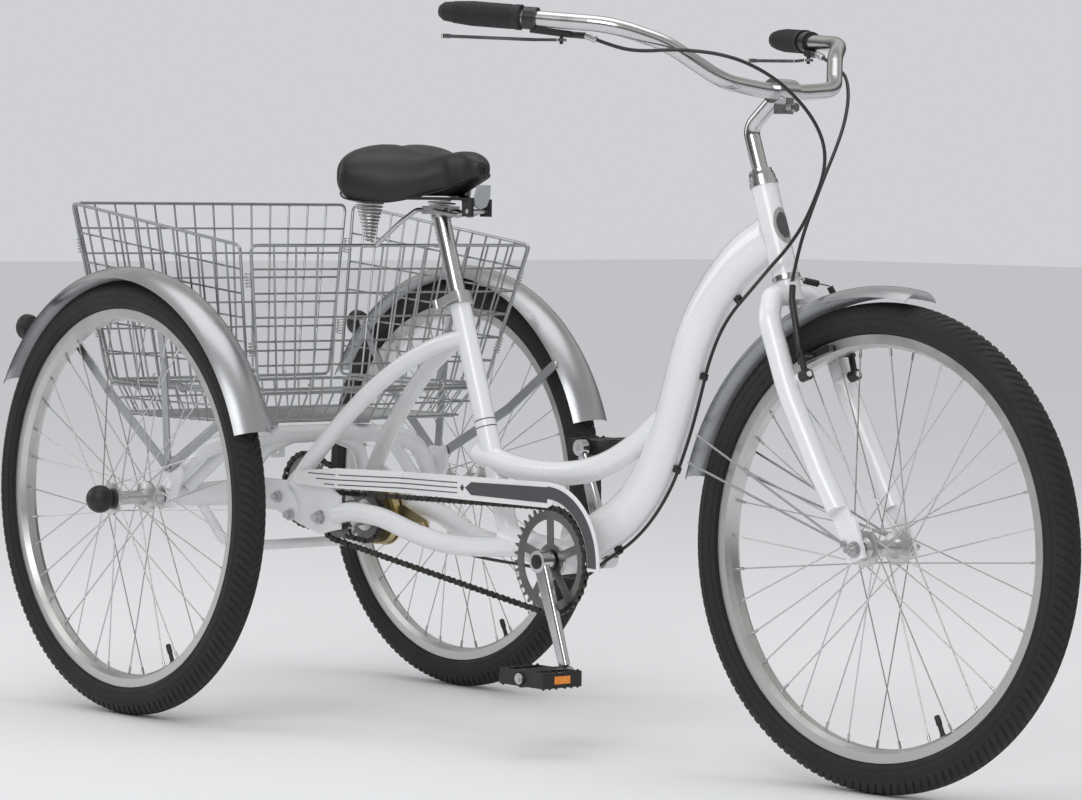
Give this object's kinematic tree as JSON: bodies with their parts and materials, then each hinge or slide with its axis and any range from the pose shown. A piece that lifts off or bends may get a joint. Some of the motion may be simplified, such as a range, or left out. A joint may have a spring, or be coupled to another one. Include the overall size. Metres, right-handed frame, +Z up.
{
  "type": "adult tricycle",
  "caption": "Step-through adult tricycle with a wire cargo basket over the rear axle, chain drive through a jackshaft, sprung saddle and raised handlebar.",
  "frame": {"origin": "on the ground under the middle of the rear axle", "axes": "+X forward, +Y to the rider's left, +Z up"},
  "size_m": [1.939, 0.8018, 1.0603],
  "materials": {
    "silver_paint": "satin pearl silver paint",
    "grey_paint": "metallic grey paint",
    "guard_paint": "gloss off-white paint",
    "polished_metal": "bright chrome plate",
    "zinc_steel": "zinc-plated steel",
    "alloy": "satin alloy",
    "cog_steel": "oiled steel",
    "chain_steel": "oiled chain",
    "tyre_rubber": "matt rubber",
    "grip_rubber": "soft rubber",
    "black_plastic": "matt black plastic",
    "brake_black": "satin black",
    "cable_housing": "gloss black housing",
    "saddle_vinyl": "grained black vinyl",
    "basket_wire": "silver powder coat",
    "brass_zinc": "yellow zinc plate"
  },
  "bodies": {
    "frame": {"main_frame": "silver_paint", "bearing_cups": "polished_metal", "rear_carriage": "silver_paint", "carriage_bolts": "zinc_steel", "axle_bearings": "zinc_steel", "jackshaft_axle": "zinc_steel", "brake_band": "brass_zinc", "chain_guard": "guard_paint", "primary_chain": "chain_steel", "secondary_chain": "chain_steel", "rear_fenders": "grey_paint", "basket_base": "basket_wire", "basket_panels": "basket_wire", "seat_collar": "alloy", "rear_brake_cable": "cable_housing"},
    "steering": {"fork": "silver_paint", "stem": "polished_metal", "handlebar": "polished_metal", "grips": "grip_rubber", "lever_brackets": "brake_black", "front_axle": "zinc_steel", "front_fender": "grey_paint", "front_brake_cable": "cable_housing"},
    "front_wheel": {"front_tyre": "tyre_rubber", "front_rim": "alloy", "front_spokes": "polished_metal", "front_hub": "alloy"},
    "axle_and_left_wheel": {"rear_axle": "zinc_steel", "axle_sprocket": "cog_steel", "dust_caps": "black_plastic", "rear_tyre_left": "tyre_rubber", "rear_rim_left": "alloy", "rear_spokes_left": "polished_metal", "rear_hub_left": "alloy"},
    "right_wheel": {"rear_tyre_right": "tyre_rubber", "rear_rim_right": "alloy", "rear_spokes_right": "polished_metal", "rear_hub_right": "alloy"},
    "jackshaft": {"jackshaft_hub": "alloy", "drive_cog": "cog_steel", "brake_drum": "brass_zinc"},
    "freewheel": {"freewheel_cog": "cog_steel"},
    "crank": {"crank_spindle": "zinc_steel", "chainring": "cog_steel", "crank_arm_left": "polished_metal", "crank_arm_right": "polished_metal", "pedal_axles": "zinc_steel"},
    "left_pedal": {"pedal_left": "black_plastic"},
    "right_pedal": {"pedal_right": "black_plastic"},
    "left_brake_lever": {"brake_lever_left": "polished_metal"},
    "right_brake_lever": {"brake_lever_right": "polished_metal"},
    "left_rim_brake_arm": {"v_brake_arm_left": "brake_black"},
    "right_rim_brake_arm": {"v_brake_arm_right": "brake_black"},
    "band_arm": {"band_brake_arm": "brass_zinc"},
    "post": {"seat_post": "polished_metal", "saddle_rails": "zinc_steel"},
    "saddle": {"saddle_cover": "saddle_vinyl", "saddle_base": "black_plastic", "saddle_springs": "zinc_steel"},
    "clamp_lever": {"collar_lever": "alloy"}
  },
  "joints": [
    {"name": "steering", "type": "hinge", "parent": "frame", "child": "steering", "pos_m": [1.045, 0, 0.812], "axis": [-0.3461, 0, 0.9382], "range_deg": [-49.27, 40.73], "deforming": ["rear_brake_cable"]},
    {"name": "front_wheel_spin", "type": "hinge", "parent": "steering", "child": "front_wheel", "pos_m": [1.27936, 0.00396, 0.32995], "axis": [-0.0699, 0.9972, -0.0258], "continuous": true},
    {"name": "rear_axle_spin", "type": "hinge", "parent": "frame", "child": "axle_and_left_wheel", "pos_m": [0, 0, 0.33], "axis": [0, 1, 0], "continuous": true, "deforming": ["secondary_chain"]},
    {"name": "right_wheel_spin", "type": "hinge", "parent": "frame", "child": "right_wheel", "pos_m": [0, 0, 0.33], "axis": [0, 1, 0], "continuous": true},
    {"name": "jackshaft_spin", "type": "hinge", "parent": "frame", "child": "jackshaft", "pos_m": [0.152, 0, 0.3], "axis": [0, 1, 0], "continuous": true},
    {"name": "crank_spin", "type": "hinge", "parent": "frame", "child": "crank", "pos_m": [0.656, 0, 0.269], "axis": [0, 1, 0], "continuous": true, "deforming": ["primary_chain"]},
    {"name": "freewheel_spin", "type": "hinge", "parent": "frame", "child": "freewheel", "pos_m": [0.152, 0, 0.3], "axis": [0, 1, 0], "continuous": true},
    {"name": "left_pedal_spin", "type": "hinge", "parent": "crank", "child": "left_pedal", "pos_m": [0.58385, 0, 0.42514], "axis": [0, 1, 0], "continuous": true},
    {"name": "right_pedal_spin", "type": "hinge", "parent": "crank", "child": "right_pedal", "pos_m": [0.72815, 0, 0.11286], "axis": [0, 1, 0], "continuous": true},
    {"name": "left_brake_lever_pull", "type": "hinge", "parent": "steering", "child": "left_brake_lever", "pos_m": [0.87566, 0.24479, 1.0036], "axis": [0.0009, -0.0258, -0.9997], "range_deg": [0, 12], "stiffness_Nm_per_rad": 3, "deforming": ["front_brake_cable"]},
    {"name": "right_brake_lever_pull", "type": "hinge", "parent": "steering", "child": "right_brake_lever", "pos_m": [0.91073, -0.25582, 1.01654], "axis": [-0.0009, 0.0258, 0.9997], "range_deg": [0, 12], "stiffness_Nm_per_rad": 3},
    {"name": "left_rim_brake_swing", "type": "hinge", "parent": "steering", "child": "left_rim_brake_arm", "pos_m": [1.16037, 0.0515, 0.55185], "axis": [-0.9356, -0.0745, -0.3451], "range_deg": [0, 4], "stiffness_Nm_per_rad": 1},
    {"name": "right_rim_brake_swing", "type": "hinge", "parent": "steering", "child": "right_rim_brake_arm", "pos_m": [1.16736, -0.04822, 0.55443], "axis": [0.9356, 0.0745, 0.3451], "range_deg": [0, 4], "stiffness_Nm_per_rad": 1},
    {"name": "band_brake_pull", "type": "hinge", "parent": "frame", "child": "band_arm", "pos_m": [0.262, 0, 0.288], "axis": [0, 1, 0], "range_deg": [0, 12], "stiffness_Nm_per_rad": 1},
    {"name": "seat_height", "type": "slide", "parent": "frame", "child": "post", "axis": [-0.336, 0, 0.9419], "range_m": [-0.05, 0.1]},
    {"name": "clamp_release", "type": "hinge", "parent": "frame", "child": "clamp_lever", "pos_m": [0.36314, -0.024, 0.63006], "axis": [-0.336, 0, 0.9419], "range_deg": [-170, 0]},
    {"name": "saddle_bounce", "type": "hinge", "parent": "post", "child": "saddle", "pos_m": [0.428, 0, 0.771], "axis": [0, 1, 0], "range_deg": [-3, 0], "stiffness_Nm_per_rad": 1100, "deforming": ["saddle_springs"]}
  ],
  "couplings": [
    {"joint": "jackshaft_spin", "follows": "rear_axle_spin", "ratio": 1.4},
    {"joint": "freewheel_spin", "follows": "crank_spin", "ratio": 2.1111},
    {"joint": "left_rim_brake_swing", "follows": "left_brake_lever_pull", "ratio": 0.33333},
    {"joint": "right_rim_brake_swing", "follows": "left_brake_lever_pull", "ratio": 0.33333},
    {"joint": "band_brake_pull", "follows": "right_brake_lever_pull", "ratio": 1}
  ]
}
